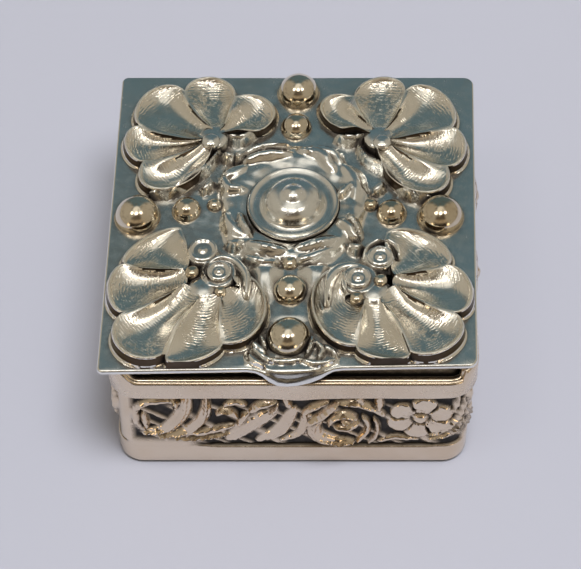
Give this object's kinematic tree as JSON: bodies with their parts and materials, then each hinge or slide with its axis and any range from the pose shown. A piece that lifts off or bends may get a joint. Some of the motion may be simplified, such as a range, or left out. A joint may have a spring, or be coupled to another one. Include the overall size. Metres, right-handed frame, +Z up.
{
  "type": "trinket box",
  "caption": "Small square hinged silver box: a lid struck up into fan shells, beads and a domed boss, over a plain-rimmed side band, with a thumb tab at the front.",
  "frame": {"origin": "middle of the flat underside, on the surface that the box stands on", "axes": "+Z up, front with the thumb tab towards -Y, hinge at +Y"},
  "size_m": [0.0332, 0.0331, 0.0174],
  "materials": {
    "silver_chased": "chased silver with black oxide left in the recesses",
    "silver_plain": "polished silver strip with light handling wear",
    "silver_struck": "struck silver sheet, matted with fine tool marks, dark in the crevices",
    "silver_inside": "worn silver sheet, lightly tarnished",
    "silver_hinge": "drawn silver tube, lightly tarnished",
    "hinge_wire": "drawn wire"
  },
  "bodies": {
    "body": {"base_plate": "silver_inside", "side_band": "silver_chased", "rim_band": "silver_plain", "hinge_pin": "hinge_wire", "knuckle_body_left": "silver_hinge", "knuckle_body_middle": "silver_hinge", "knuckle_body_right": "silver_hinge"},
    "lid": {"lid_plate": "silver_struck", "lid_flange": "silver_inside", "knuckle_lid_left": "silver_hinge", "knuckle_lid_right": "silver_hinge"}
  },
  "joints": [
    {"name": "lid_hinge", "type": "hinge", "parent": "body", "child": "lid", "pos_m": [0, 0.0155, 0.01335], "axis": [-1, 0, 0], "range_deg": [0, 115]}
  ]
}
